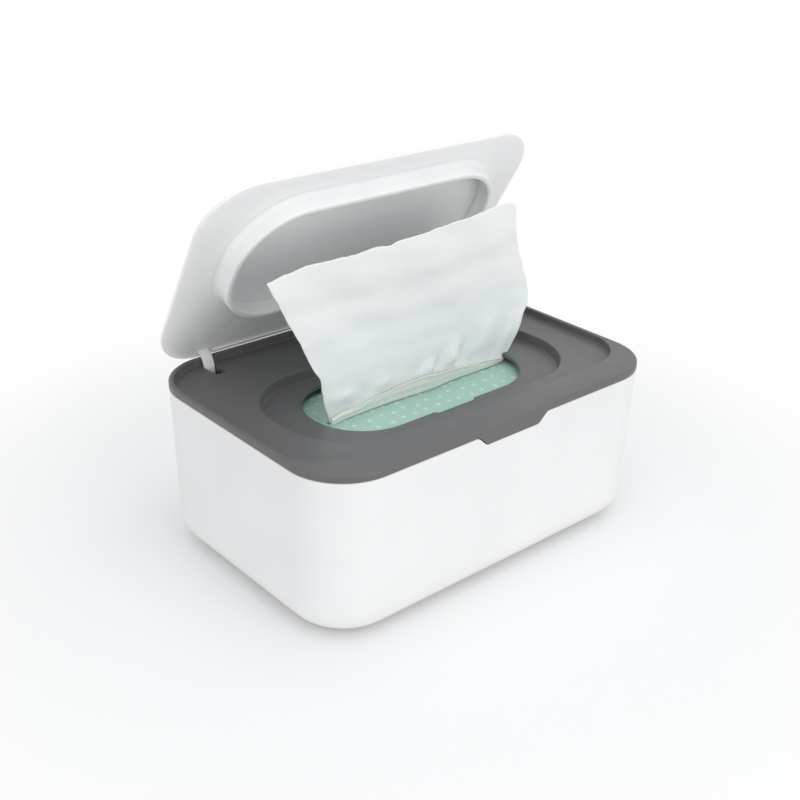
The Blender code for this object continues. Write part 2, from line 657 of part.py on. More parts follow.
def make_stack(parts):
    """The folded wipes inside the film, layer on layer."""
    plan = Plan(PACK_LENGTH / 2 - STACK_CLEARANCE, PACK_WIDTH / 2 - STACK_CLEARANCE,
                PACK_RADIUS - STACK_CLEARANCE, 0.0, 0.0)
    layer = (STACK_TOP - STACK_BOTTOM) / STACK_LAYERS
    rings = [ring(plan, STACK_EDGE, STACK_BOTTOM)]
    for index in range(STACK_LAYERS):
        low = STACK_BOTTOM + layer * index
        rings.append(ring(plan, STACK_GROOVE * 2 if index == 0 else 0.0, low + layer * 0.35))
        rings.append(ring(plan, STACK_GROOVE * 2 if index == STACK_LAYERS - 1 else 0.0, low + layer * 0.65))
        if index < STACK_LAYERS - 1:
            rings.append(ring(plan, STACK_GROOVE, low + layer))
    rings.append(ring(plan, STACK_EDGE, STACK_TOP))
    stack = loft("wipe_stack", rings, parts)
    finish_part(stack, (0.82, 0.84, 0.83), 0.9)


def make_slit_lip(parts):
    """The film's pale inside, turned up along the front of the slit."""
    half = SLIT_LENGTH / 2
    outline = [(half * share, LIP_HEIGHT * height) for share, height in LIP_SHARES]
    outline = [(outline[0][0], 0.0), *outline, (outline[-1][0], 0.0)]
    seat = place(SLIT_X, SLIT_Y - LIP_OFFSET, PACK_TOP + FIT_GAP + LIP_THICKNESS / 4)
    lean = Matrix.Rotation(LIP_LEAN, 4, 'X')
    lip = slab("slit_lip", outline, LIP_THICKNESS, parts, seat @ lean @ FACING)
    finish_part(lip, (0.82, 0.85, 0.78), 0.6)


# Wipe drawn up through the slit

def wipe_point(across, up):
    """One point of the drawn-up wipe: straight in the slit, then spreading and folding."""
    foot = STACK_TOP + FIT_GAP
    edge = PACK_TOP + FIT_GAP
    top = edge + WIPE_HEIGHT * smooth_table(WIPE_TOP_SHARES, across)
    z = foot + (top - foot) * up
    rise = max((z - edge) / WIPE_HEIGHT, 0.0)
    left = smooth_table(WIPE_LEFT_SHARES, rise)
    right = smooth_table(WIPE_RIGHT_SHARES, rise)
    x = SLIT_X + WIPE_FOOT_HALF * (left + (right - left) * across)
    free = rise * rise * (3 - 2 * rise)
    billow = WIPE_BILLOW * math.sin(math.tau * (1.15 * across + 0.1))
    ripple = WIPE_RIPPLE * math.sin(math.tau * (3.6 * across + 0.8 * rise))
    y = SLIT_Y - WIPE_FORWARD * across * free + (billow + ripple) * free
    return Vector((x, y, z))


def make_pulled_wipe(parts):
    shape = bmesh.new()
    grid = [[shape.verts.new(wipe_point(column / WIPE_COLUMNS, row / WIPE_ROWS))
             for column in range(WIPE_COLUMNS + 1)] for row in range(WIPE_ROWS + 1)]
    for low, high in zip(grid, grid[1:]):
        for column in range(WIPE_COLUMNS):
            shape.faces.new((low[column], low[column + 1], high[column + 1], high[column]))
    mesh = bpy.data.meshes.new("pulled_wipe")
    shape.to_mesh(mesh)
    shape.free()
    wipe = add_object("pulled_wipe", mesh, parts)
    sheet = wipe.modifiers.new("thickness", 'SOLIDIFY')
    sheet.thickness = WIPE_THICKNESS
    sheet.offset = 0.0
    finish_part(wipe, (0.80, 0.83, 0.84), 0.9)


clear_scene()
dispenser = make_collection("wipes_dispenser")
shaping_tools = make_collection("cutters")
lid_axis = bpy.data.objects.new("lid_hinge_axis", None)
dispenser.objects.link(lid_axis)
lid_axis.location = HINGE
lid_axis.rotation_euler.x = -REST_OPEN_ANGLE
make_box(dispenser, shaping_tools)
make_feet(dispenser)
make_cover(dispenser, shaping_tools)
make_lid(dispenser, shaping_tools, lid_axis)
make_pack(dispenser)
make_stack(dispenser)
make_slit_lip(dispenser)
make_pulled_wipe(dispenser)
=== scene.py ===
"""Looks of the wipes dispenser: finish of every surface, the drawn-up wipe and the studio."""

import math

import bmesh
import bpy
import numpy as np
from mathutils import Matrix, Vector, noise


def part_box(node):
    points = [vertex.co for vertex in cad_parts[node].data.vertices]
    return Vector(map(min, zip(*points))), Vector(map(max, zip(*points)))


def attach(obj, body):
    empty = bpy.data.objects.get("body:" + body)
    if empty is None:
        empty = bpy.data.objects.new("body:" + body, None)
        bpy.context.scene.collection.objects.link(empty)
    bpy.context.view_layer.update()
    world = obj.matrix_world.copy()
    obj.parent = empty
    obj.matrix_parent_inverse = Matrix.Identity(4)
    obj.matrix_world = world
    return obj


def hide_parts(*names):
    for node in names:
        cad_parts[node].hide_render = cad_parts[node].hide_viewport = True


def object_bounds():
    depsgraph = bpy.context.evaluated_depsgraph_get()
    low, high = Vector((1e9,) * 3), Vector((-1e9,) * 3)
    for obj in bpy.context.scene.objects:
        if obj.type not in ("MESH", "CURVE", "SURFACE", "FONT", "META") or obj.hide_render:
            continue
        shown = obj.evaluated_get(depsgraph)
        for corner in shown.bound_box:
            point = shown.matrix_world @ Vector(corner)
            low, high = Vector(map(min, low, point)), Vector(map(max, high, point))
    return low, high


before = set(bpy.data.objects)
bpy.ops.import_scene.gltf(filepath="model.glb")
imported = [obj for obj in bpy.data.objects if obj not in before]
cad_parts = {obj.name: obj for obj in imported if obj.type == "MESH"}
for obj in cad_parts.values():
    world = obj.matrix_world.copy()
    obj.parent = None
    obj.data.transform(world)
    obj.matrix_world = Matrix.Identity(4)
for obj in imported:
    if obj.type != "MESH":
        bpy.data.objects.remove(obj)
cad_low, cad_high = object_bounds()


# Camera
# The photograph was taken a little above the box, from its front left, with a short telephoto.
# The place and the roll were fitted to the box's own outline, with the picture 800 pixels wide.
CAMERA_PLACE = Vector((-0.3262, -0.3671, 0.2997))
CAMERA_AZIMUTH = math.radians(-41.203)
CAMERA_ELEVATION = math.radians(25.955)
CAMERA_ROLL = math.radians(1.18)
CAMERA_LENS = 54.2

camera = bpy.data.objects.new("camera", bpy.data.cameras.new("camera"))
bpy.context.scene.collection.objects.link(camera)
bpy.context.scene.camera = camera
camera.data.lens = CAMERA_LENS
camera.data.clip_start = 0.01
camera.matrix_world = (Matrix.Translation(CAMERA_PLACE)
                       @ Matrix.Rotation(CAMERA_AZIMUTH, 4, 'Z')
                       @ Matrix.Rotation(math.pi / 2 - CAMERA_ELEVATION, 4, 'X')
                       @ Matrix.Rotation(CAMERA_ROLL, 4, 'Z'))


# Box body
# A deep white box, one injection moulding in polypropylene. Its walls draw in a little to the
# base, which turns up in one wide round, and the front wall is notched for the cover's tab.
LENGTH = 0.190
WIDTH = 0.1324
RIM_HEIGHT = 0.078
CORNER_RADIUS = 0.026
FIT_GAP = 0.0003
WALL = 0.0020
SEAM_HEIGHT = 0.075
DRAFT_X = 0.0012
DRAFT_Y = 0.0015
BASE_CORNER_GROWTH = 0.0015
BASE_FILLET = 0.014
BOX_LIP_ROUND = 0.0005
BOX_LEAD_IN = 0.0009
OVERRUN = 0.001
CORNER_STEPS = 18
TAB_HALF_WIDTH = 0.0208
TAB_END = 0.0069
TAB_DROP = 0.0045
TAB_THICKNESS = 0.0028
WHITE_PLASTIC = (0.80, 0.80, 0.80)
FACING = Matrix(((1, 0, 0), (0, 0, -1), (0, 1, 0))).to_4x4()
ACROSS = Matrix(((0, 0, 1), (1, 0, 0), (0, 1, 0))).to_4x4()


def plan_ring(plan, inset, z):
    """A rounded rectangle, (half x, half y, radius, centre x, centre y), drawn in by an inset."""
    half_x, half_y, radius, x, y = plan
    half_x, half_y = half_x - inset, half_y - inset
    radius = min(radius - inset, half_x, half_y)
    points = []
    for corner, (side_x, side_y) in enumerate(((1, 1), (-1, 1), (-1, -1), (1, -1))):
        for step in range(CORNER_STEPS + 1):
            turn = math.pi / 2 * (corner + step / CORNER_STEPS)
            points.append(Vector((x + side_x * (half_x - radius) + radius * math.cos(turn),
                                  y + side_y * (half_y - radius) + radius * math.sin(turn), z)))
    return points


def edge_round(radius, steps):
    """Pairs (side, rise) along a quarter circle, from the level face to the upright one."""
    turns = [math.pi / 2 * step / steps for step in range(steps + 1)]
    return [(radius * (1 - math.sin(turn)), radius * (1 - math.cos(turn))) for turn in turns]


def moulding(name, rings, closed=False):
    """Extrude one loop of edges from ring to ring, and close the run or cap its two ends."""
    shape = bmesh.new()
    mark = shape.verts.layers.int.new("place")
    loop = bmesh.ops.create_circle(shape, cap_ends=not closed, segments=len(rings[0]), radius=1.0)["verts"]
    for index, vert in enumerate(loop):
        vert[mark] = index
        vert.co = rings[0][index]
    edges = list(shape.edges)
    for points in rings[1:] + (rings[:1] if closed else []):
        grown = bmesh.ops.extrude_edge_only(shape, edges=edges)["geom"]
        fresh = {item for item in grown if isinstance(item, bmesh.types.BMVert)}
        for vert in fresh:
            vert.co = points[vert[mark]]
        edges = [item for item in grown if isinstance(item, bmesh.types.BMEdge)
                 and item.verts[0] in fresh and item.verts[1] in fresh]
    if not closed:
        bmesh.ops.edgeloop_fill(shape, edges=edges)
    bmesh.ops.remove_doubles(shape, verts=shape.verts, dist=FIT_GAP / 1000)
    bmesh.ops.recalc_face_normals(shape, faces=shape.faces)
    return new_piece(name, shape)


def new_piece(name, shape):
    mesh = bpy.data.meshes.new(name)
    shape.to_mesh(mesh)
    shape.free()
    piece = bpy.data.objects.new(name, mesh)
    bpy.context.scene.collection.objects.link(piece)
    return piece


def extruded(name, outline, thickness, matrix, edge=0.0):
    """A flat outline as one face, extruded to its thickness, with its rims rounded."""
    shape = bmesh.new()
    face = shape.faces.new([shape.verts.new((x, y, -thickness / 2)) for x, y in outline])
    top = bmesh.ops.extrude_face_region(shape, geom=[face])["geom"]
    moved = [item for item in top if isinstance(item, bmesh.types.BMVert)]
    bmesh.ops.translate(shape, verts=moved, vec=(0, 0, thickness))
    bmesh.ops.recalc_face_normals(shape, faces=shape.faces)
    if edge:
        rims = [item for item in shape.edges if abs(item.verts[0].co.z - item.verts[1].co.z) < edge / 10]
        bmesh.ops.bevel(shape, geom=rims, offset=edge, segments=3, profile=0.5, affect='EDGES',
                        material=-1, clamp_overlap=True)
    bmesh.ops.transform(shape, matrix=matrix, verts=shape.verts)
    bmesh.ops.recalc_face_normals(shape, faces=shape.faces)
    return new_piece(name, shape)


def shaped_by(piece, tools, operation):
    """Cut tools out of a piece, or join them to it, and keep only the result."""
    for tool in tools:
        modifier = piece.modifiers.new(tool.name, 'BOOLEAN')
        modifier.operation = operation
        modifier.solver = 'EXACT'
        modifier.object = tool
    graph = bpy.context.evaluated_depsgraph_get()
    mesh = bpy.data.meshes.new_from_object(piece.evaluated_get(graph))
    piece.modifiers.clear()
    piece.data = mesh
    for tool in tools:
        bpy.data.objects.remove(tool)
    return piece


def finished(piece, body, slot, material, *nodes, angle=32):
    """Shade a piece softly between its sharp edges and hand it to its body."""
    piece.data.materials.clear()
    piece.data.materials.append(material)
    piece.data.shade_smooth()
    piece.data.set_sharp_from_angle(angle=math.radians(angle))
    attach(piece, body)
    if nodes:
        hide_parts(*nodes)
    return piece


def node_material(name):
    material = bpy.data.materials.new(name)
    material.use_nodes = True
    return material, material.node_tree.nodes, material.node_tree.links


def noise_of(nodes, links, scale, detail=2.0):
    """A noise read in the object's own metres."""
    place = nodes.new("ShaderNodeTexCoord")
    texture = nodes.new("ShaderNodeTexNoise")
    texture.inputs["Scale"].default_value = scale
    texture.inputs["Detail"].default_value = detail
    links.new(place.outputs["Object"], texture.inputs["Vector"])
    return texture.outputs["Fac"]


def spread(nodes, links, source, low, high):
    """Map the middle of a noise on to a range."""
    mapped = nodes.new("ShaderNodeMapRange")
    mapped.inputs["From Min"].default_value = 0.3
    mapped.inputs["From Max"].default_value = 0.7
    mapped.inputs["To Min"].default_value = low
    mapped.inputs["To Max"].default_value = high
    links.new(source, mapped.inputs["Value"])
    return mapped.outputs["Result"]


def tinted(nodes, links, source, dark, light):
    """Blend two colours by a noise."""
    mix = nodes.new("ShaderNodeMix")
    mix.data_type = 'RGBA'
    mix.inputs["A"].default_value = (*dark, 1.0)
    mix.inputs["B"].default_value = (*light, 1.0)
    links.new(source, mix.inputs["Factor"])
    return mix.outputs["Result"]


def bumped(nodes, links, height, strength, distance):
    bump = nodes.new("ShaderNodeBump")
    bump.inputs["Strength"].default_value = strength
    bump.inputs["Distance"].default_value = distance
    links.new(height, bump.inputs["Height"])
    return bump.outputs["Normal"]


def moulded_plastic(name, colour, roughness, grain_scale, grain_depth):
    """Moulded plastic: a faint flow mottle, uneven gloss, and the mould's fine spark grain."""
    material, nodes, links = node_material(name)
    shader = nodes["Principled BSDF"]
    mottle = spread(nodes, links, noise_of(nodes, links, 22.0, 3.0), 0.0, 1.0)
    dark = tuple(channel * 0.975 for channel in colour)
    light = tuple(min(channel * 1.02, 1.0) for channel in colour)
    links.new(tinted(nodes, links, mottle, dark, light), shader.inputs["Base Color"])
    gloss = spread(nodes, links, noise_of(nodes, links, 160.0, 4.0), roughness - 0.04, roughness + 0.04)
    links.new(gloss, shader.inputs["Roughness"])
    grain = noise_of(nodes, links, grain_scale, 2.0)
    links.new(bumped(nodes, links, grain, 0.35, grain_depth), shader.inputs["Normal"])
    shader.inputs["IOR"].default_value = 1.49
    return material


def box_plan(z):
    drop = 1 - z / RIM_HEIGHT
    return (LENGTH / 2 - DRAFT_X * drop, WIDTH / 2 - DRAFT_Y * drop,
            CORNER_RADIUS + BASE_CORNER_GROWTH * drop, 0.0, 0.0)


def tab_outline(gap):
    """The lift tab seen from the front, or its notch in the wall when given a gap."""
    top = SEAM_HEIGHT + OVERRUN
    right = [(TAB_HALF_WIDTH + gap, top)]
    for step in range(CORNER_STEPS + 1):
        along = step / CORNER_STEPS
        ease = along * along * (3 - 2 * along)
        right.append((TAB_HALF_WIDTH + gap - TAB_END * along, SEAM_HEIGHT - gap - TAB_DROP * ease))
    return right + [(-x, z) for x, z in reversed(right)]


box_top = SEAM_HEIGHT - FIT_GAP
box_rings = [plan_ring(box_plan(rise), side, rise) for side, rise in edge_round(BASE_FILLET, 12)]
for side, rise in reversed(edge_round(BOX_LIP_ROUND, 4)):
    box_rings.append(plan_ring(box_plan(box_top - rise), side, box_top - rise))
for side, rise in edge_round(BOX_LEAD_IN, 4):
    box_rings.append(plan_ring(box_plan(box_top - rise), WALL - side, box_top - rise))
for side, rise in reversed(edge_round(BASE_FILLET - WALL, 10)):
    box_rings.append(plan_ring(box_plan(WALL + rise), WALL + side, WALL + rise))
box = moulding("white_box", box_rings)
notch_depth = WALL + 2 * OVERRUN
notch_place = Matrix.Translation((0, -WIDTH / 2 - OVERRUN + notch_depth / 2, 0)) @ FACING
foot_names = ("foot_front_left", "foot_front_right", "foot_rear_left", "foot_rear_right")
box_cuts = [extruded("notch", tab_outline(FIT_GAP), notch_depth, notch_place)]
for foot_name in foot_names:
    low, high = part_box(foot_name)
    middle = (low + high) / 2
    seat = bmesh.new()
    bmesh.ops.create_cone(seat, cap_ends=True, segments=64, radius1=(high.x - low.x) / 2 + FIT_GAP,
                          radius2=(high.x - low.x) / 2 + FIT_GAP, depth=2 * (high.z + FIT_GAP),
                          matrix=Matrix.Translation((middle.x, middle.y, 0)))
    box_cuts.append(new_piece("seat_of_" + foot_name, seat))
shaped_by(box, box_cuts, 'DIFFERENCE')
white_plastic = moulded_plastic("white moulded plastic", WHITE_PLASTIC, 0.40, 2600.0, 0.00002)
finished(box, "base", "white_shell", white_plastic, "box_body")


# Feet
# Four soft discs, moulded in a pale rubber and glued in shallow recesses of the underside. Each
# has a rounded rim and two fine rings on its sole, which keep it from slipping on a wet surface.
FOOT_ROUND = 0.00035
FOOT_RING_SHARES = (0.72, 0.66, 0.42, 0.36)
FOOT_RING_DEPTH = 0.00015
FOOT_RUBBER = (0.60, 0.60, 0.59)

rubber, rubber_nodes, rubber_links = node_material("pale foot rubber")
rubber_shader = rubber_nodes["Principled BSDF"]
rubber_mottle = spread(rubber_nodes, rubber_links, noise_of(rubber_nodes, rubber_links, 400.0), 0.0, 1.0)
rubber_links.new(tinted(rubber_nodes, rubber_links, rubber_mottle, (0.56, 0.56, 0.55), FOOT_RUBBER),
                 rubber_shader.inputs["Base Color"])
rubber_shader.inputs["Roughness"].default_value = 0.85
rubber_grain = noise_of(rubber_nodes, rubber_links, 5000.0)
rubber_links.new(bumped(rubber_nodes, rubber_links, rubber_grain, 0.5, 0.00003),
                 rubber_shader.inputs["Normal"])

for foot_name in foot_names:
    low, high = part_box(foot_name)
    middle = (low + high) / 2
    radius = (high.x - low.x) / 2
    disc = bmesh.new()
    bmesh.ops.create_circle(disc, cap_ends=True, segments=64, radius=radius,
                            matrix=Matrix.Translation((middle.x, middle.y, high.z)))
    sole = bmesh.ops.extrude_face_region(disc, geom=list(disc.faces))["geom"]
    bmesh.ops.translate(disc, verts=[item for item in sole if isinstance(item, bmesh.types.BMVert)],
                        vec=(0, 0, low.z - high.z))
    rim = [item for item in disc.edges
           if all(abs(vert.co.z - low.z) < FOOT_RING_DEPTH for vert in item.verts)]
    bmesh.ops.bevel(disc, geom=rim, offset=FOOT_ROUND, segments=4, profile=0.5, affect='EDGES', material=-1)
    sole_face = min(disc.faces, key=lambda face: (round(face.calc_center_median().z, 6), -face.calc_area()))
    outer = radius - FOOT_ROUND
    for index, share in enumerate(FOOT_RING_SHARES):
        bmesh.ops.inset_region(disc, faces=[sole_face], thickness=outer - radius * share,
                               use_even_offset=True)
        outer = radius * share
        if index % 2 == 0:
            bmesh.ops.translate(disc, verts=sole_face.verts, vec=(0, 0, FOOT_RING_DEPTH))
            bmesh.ops.inset_region(disc, faces=[sole_face], thickness=FOOT_RING_DEPTH)
            outer -= FOOT_RING_DEPTH
    bmesh.ops.recalc_face_normals(disc, faces=disc.faces)
    finished(new_piece(foot_name + "_pad", disc), "base", "foot", rubber, foot_name)


# Cover
# The dark grey cover sits on the box's rim, with a skirt inside the walls, and lifts off by its
# tab. One moulding: a narrow rim, a flat front band, a sunk tray, and an oval-ended recess with
# the opening that the wipes come out of.
PLATE = 0.0018
RIM_WIDTH = 0.0024
RIM_ROUND = 0.00086
RIM_INNER_ROUND = 0.0005
FRONT_BAND = 0.0152
TRAY_DEPTH = 0.0034
TRAY_RADIUS = 0.0235
TRAY_FILLET = 0.0006
SKIRT_WALL = 0.0015
SKIRT_DEPTH = 0.007
RECESS_PLAN = (0.0747, 0.0363, 0.0325, 0.0, -0.0052)
RECESS_DEPTH = 0.0046
RECESS_SLOPE = 0.001
RECESS_ROUND = 0.0006
OPENING_PLAN = (0.056, 0.026, 0.0255, 0.0, -0.004)
OPENING_ROUND = 0.0004
NOTCH_HALF_WIDTH = 0.012
NOTCH_SLOPE = 0.002
NOTCH_DEPTH = 0.0018
POCKET_COUNT = 4
POCKET_SPAN = 0.132
POCKET_RIB = 0.0012
POCKET_ROUND = 0.001
POCKET_STEP = 0.0003
HINGE = Vector((0.0, 0.0612, 0.0676))
ARM_X = 0.066
ARM_WIDTH = 0.005
ARM_THICKNESS = 0.0016
BOSS_RADIUS = 0.0015
EAR_RADIUS = 0.0022
STUD_RADIUS = 0.0011
STUD_SHORT = 0.0002
EAR_WALL = 0.0016
EAR_REACH = 0.0042
SLOT_ROUND = 0.0008
SLOT_FRONT_SETBACK = 0.015
SLOT_REAR_SETBACK = 0.0039
GREY_PLASTIC = (0.118, 0.118, 0.120)

tray_height = RIM_HEIGHT - TRAY_DEPTH
tray_underside = tray_height - PLATE
recess_height = tray_height - RECESS_DEPTH
recess_underside = recess_height - PLATE
skirt_bottom = SEAM_HEIGHT - SKIRT_DEPTH
tray_front = -WIDTH / 2 + FRONT_BAND
tray_rear = WIDTH / 2 - RIM_WIDTH
outer_plan = (LENGTH / 2, WIDTH / 2, CORNER_RADIUS, 0.0, 0.0)
tray_plan = (LENGTH / 2 - RIM_WIDTH, (tray_rear - tray_front) / 2, TRAY_RADIUS,
             0.0, (tray_rear + tray_front) / 2)
skirt_inset = WALL + FIT_GAP

cover_rings = [plan_ring(outer_plan, 0.0, SEAM_HEIGHT)]
for side, rise in reversed(edge_round(RIM_ROUND, 6)):
    cover_rings.append(plan_ring(outer_plan, side, RIM_HEIGHT - rise))
for side, rise in edge_round(RIM_INNER_ROUND, 4):
    cover_rings.append(plan_ring(tray_plan, -side, RIM_HEIGHT - rise))
for side, rise in reversed(edge_round(TRAY_FILLET, 4)):
    cover_rings.append(plan_ring(tray_plan, side, tray_height + rise))
for side, rise in edge_round(RECESS_ROUND, 5):
    cover_rings.append(plan_ring(RECESS_PLAN, -side, tray_height - rise))
for side, rise in reversed(edge_round(RECESS_ROUND, 5)):
    cover_rings.append(plan_ring(RECESS_PLAN, RECESS_SLOPE + side, recess_height + rise))
for side, rise in edge_round(OPENING_ROUND, 4):
    cover_rings.append(plan_ring(OPENING_PLAN, -side, recess_height - rise))
cover_rings.append(plan_ring(OPENING_PLAN, 0.0, recess_underside))
for side, rise in edge_round(RECESS_ROUND + PLATE, 5):
    cover_rings.append(plan_ring(RECESS_PLAN, RECESS_SLOPE - PLATE + side, recess_underside + rise))
cover_rings.append(plan_ring(RECESS_PLAN, -PLATE, tray_underside))
cover_rings.append(plan_ring(box_plan(SEAM_HEIGHT), skirt_inset + SKIRT_WALL, tray_underside))
cover_rings.append(plan_ring(box_plan(skirt_bottom), skirt_inset + SKIRT_WALL, skirt_bottom))
cover_rings.append(plan_ring(box_plan(skirt_bottom), skirt_inset, skirt_bottom))
cover_rings.append(plan_ring(box_plan(SEAM_HEIGHT), skirt_inset, SEAM_HEIGHT))
cover = moulding("grey_cover", cover_rings, closed=True)

tab_place = Matrix.Translation((0, -WIDTH / 2 + TAB_THICKNESS / 2, 0)) @ FACING
ear_turns = [math.radians(200 + 160 * step / 16) for step in range(17)]
ear_outline = [(HINGE.y + EAR_RADIUS * math.cos(turn), HINGE.z + EAR_RADIUS * math.sin(turn))
               for turn in ear_turns]
ear_outline += [(HINGE.y + EAR_RADIUS, tray_underside + PLATE / 2),
                (HINGE.y - EAR_REACH, tray_underside + PLATE / 2)]
ear_x = ARM_WIDTH / 2 + FIT_GAP + EAR_WALL / 2
cover_additions = [extruded("tab", tab_outline(0.0), TAB_THICKNESS, tab_place)]
for arm_x in (-ARM_X, ARM_X):
    for ear_side in (-ear_x, ear_x):
        ear_place = Matrix.Translation((arm_x + ear_side, 0, 0)) @ ACROSS
        cover_additions.append(extruded("ear", ear_outline, EAR_WALL, ear_place))
shaped_by(cover, cover_additions, 'UNION')

cover_cuts = []
pocket_width = (POCKET_SPAN - POCKET_RIB * (POCKET_COUNT - 1)) / POCKET_COUNT
pocket_front = -WIDTH / 2 + skirt_inset + SKIRT_WALL + POCKET_STEP
pocket_rear = tray_front - PLATE
for index in range(POCKET_COUNT):
    pocket_x = (index - (POCKET_COUNT - 1) / 2) * (pocket_width + POCKET_RIB)
    pocket_plan = (pocket_width / 2, (pocket_rear - pocket_front) / 2, POCKET_ROUND,
                   pocket_x, (pocket_rear + pocket_front) / 2)
    cover_cuts.append(moulding("pocket", [plan_ring(pocket_plan, 0.0, tray_underside - OVERRUN),
                                          plan_ring(pocket_plan, 0.0, RIM_HEIGHT - PLATE)]))
opening_front = OPENING_PLAN[4] - OPENING_PLAN[1]
thumb_outline = [(NOTCH_HALF_WIDTH, opening_front + OVERRUN), (NOTCH_HALF_WIDTH, opening_front),
                 (NOTCH_HALF_WIDTH - NOTCH_SLOPE, opening_front - NOTCH_DEPTH)]
thumb_outline += [(-x, y) for x, y in reversed(thumb_outline)]
cover_cuts.append(extruded("thumb_notch", thumb_outline, PLATE + 2 * OVERRUN,
                           Matrix.Translation((0, 0, (recess_height + recess_underside) / 2))))
slot_front = WIDTH / 2 - SLOT_FRONT_SETBACK
slot_rear = WIDTH / 2 - SLOT_REAR_SETBACK
slot_half = ARM_WIDTH / 2 + FIT_GAP
for arm_x in (-ARM_X, ARM_X):
    slot_plan = (slot_half, (slot_rear - slot_front) / 2, SLOT_ROUND, arm_x, (slot_rear + slot_front) / 2)
    gap_plan = (slot_half, SKIRT_WALL + OVERRUN, SLOT_ROUND, arm_x, WIDTH / 2 - WALL - SKIRT_WALL / 2)
    cover_cuts.append(moulding("arm_slot", [plan_ring(slot_plan, 0.0, tray_underside - OVERRUN),
                                            plan_ring(slot_plan, 0.0, tray_height + OVERRUN)]))
    cover_cuts.append(moulding("skirt_gap", [plan_ring(gap_plan, 0.0, skirt_bottom - OVERRUN),
                                             plan_ring(gap_plan, 0.0, tray_underside)]))
    bore = bmesh.new()
    bmesh.ops.create_cone(bore, cap_ends=True, segments=32, radius1=STUD_RADIUS + FIT_GAP,
                          radius2=STUD_RADIUS + FIT_GAP, depth=2 * (ear_x + EAR_WALL),
                          matrix=Matrix.Translation((arm_x, HINGE.y, HINGE.z)) @ ACROSS)
    cover_cuts.append(new_piece("bore", bore))
shaped_by(cover, cover_cuts, 'DIFFERENCE')
grey_plastic = moulded_plastic("grey moulded plastic", GREY_PLASTIC, 0.42, 2200.0, 0.000025)
finished(cover, "cover", "grey_shell", grey_plastic, "top_cover")


# Lid
# The white lid is one moulding with its two goose-necked arms, whose studs snap into the cover's
# ears. Its underside has a soft tapered edge, an oval rib that carries the seal, a shallow dish
# inside that rib, and a low rib between the arms.
LID_LENGTH = 0.182
LID_FRONT_GAP = 0.0006
LID_REAR_SETBACK = 0.0089
LID_RADIUS = 0.025
LID_THICKNESS = 0.0024
LID_RISE = 0.0022
LID_ROUND = 0.0008
LID_TAPER_WIDTH = 0.0028
LID_TAPER_RISE = 0.001
LID_TAPER_ROUND = 0.00025
DISH_WIDTH = 0.011
DISH_DEPTH = 0.0009
REAR_RIB_SETBACK = 0.0046
REAR_RIB_THICKNESS = 0.0014
REAR_RIB_DEPTH = 0.001
ARM_ROOT_SETBACK = 0.0047
ARM_SHARES = ((1.0, 1.0), (1.02, 0.74), (0.88, 0.5), (0.65, 0.28), (0.37, 0.09), (0.0, 0.0))
SEAL_PLAN = (0.0725, 0.0333, 0.0305, 0.0, -0.0052)
SEAL_WALL = 0.0006
SEAL_WEB = 0.0009
SEAL_ROUND = 0.0005
RIB_WALL = 0.0012
OPEN_ANGLE = math.radians(59.3)
LID_WHITE = (0.87, 0.87, 0.87)

lid_top = RIM_HEIGHT + LID_RISE
lid_underside = lid_top - LID_THICKNESS
lid_front = tray_front + LID_FRONT_GAP
lid_rear = WIDTH / 2 - LID_REAR_SETBACK
lid_plan = (LID_LENGTH / 2, (lid_rear - lid_front) / 2, LID_RADIUS, 0.0, (lid_rear + lid_front) / 2)
seal_crest = recess_height + FIT_GAP
rib_end = seal_crest + SEAL_WEB + FIT_GAP
rib_outer = SEAL_WALL + FIT_GAP
rib_inner = rib_outer + RIB_WALL
taper_top = lid_underside + LID_TAPER_RISE
swing_open = (Matrix.Translation(HINGE) @ Matrix.Rotation(-OPEN_ANGLE, 4, 'X')
              @ Matrix.Translation(-HINGE))


def smooth_path(points, steps):
    """A Catmull-Rom curve through flat points."""
    padded = [2 * points[0] - points[1], *points, 2 * points[-1] - points[-2]]
    path = []
    for before, start, end, after in zip(padded, padded[1:], padded[2:], padded[3:]):
        for step in range(steps):
            t = step / steps
            path.append(0.5 * (2 * start + (end - before) * t
                               + (2 * before - 5 * start + 4 * end - after) * t ** 2
                               + (3 * start - before - 3 * end + after) * t ** 3))
    return path + [points[-1]]


def strip_outline(path, width):
    """The outline of a strip of one width that follows a flat path."""
    left, right = [], []
    for index, point in enumerate(path):
        along = (path[min(index + 1, len(path) - 1)] - path[max(index - 1, 0)]).normalized()
        side = Vector((-along.y, along.x)) * width / 2
        left.append(tuple(point + side))
        right.append(tuple(point - side))
    return left + right[::-1]


lid_rings = [plan_ring(SEAL_PLAN, rib_inner + DISH_WIDTH, lid_underside + DISH_DEPTH)]
for step in range(1, 6):
    share = step / 6
    lid_rings.append(plan_ring(SEAL_PLAN, rib_inner + DISH_WIDTH * (1 - share),
                               lid_underside + DISH_DEPTH * math.cos(share * math.pi / 2)))
for side, rise in edge_round(RIB_WALL / 2, 4):
    lid_rings.append(plan_ring(SEAL_PLAN, rib_inner + side, lid_underside - rise))
lid_rings.append(plan_ring(SEAL_PLAN, rib_inner, rib_end))
lid_rings.append(plan_ring(SEAL_PLAN, rib_outer, rib_end))
for side, rise in reversed(edge_round(RIB_WALL / 4, 4)):
    lid_rings.append(plan_ring(SEAL_PLAN, rib_outer - side, lid_underside - rise))
lid_rings.append(plan_ring(lid_plan, LID_TAPER_WIDTH, lid_underside))
for side, rise in edge_round(LID_TAPER_ROUND, 3):
    lid_rings.append(plan_ring(lid_plan, side, taper_top - LID_TAPER_ROUND + rise))
for side, rise in reversed(edge_round(LID_ROUND, 6)):
    lid_rings.append(plan_ring(lid_plan, side, lid_top - rise))
lid = moulding("white_lid", lid_rings)

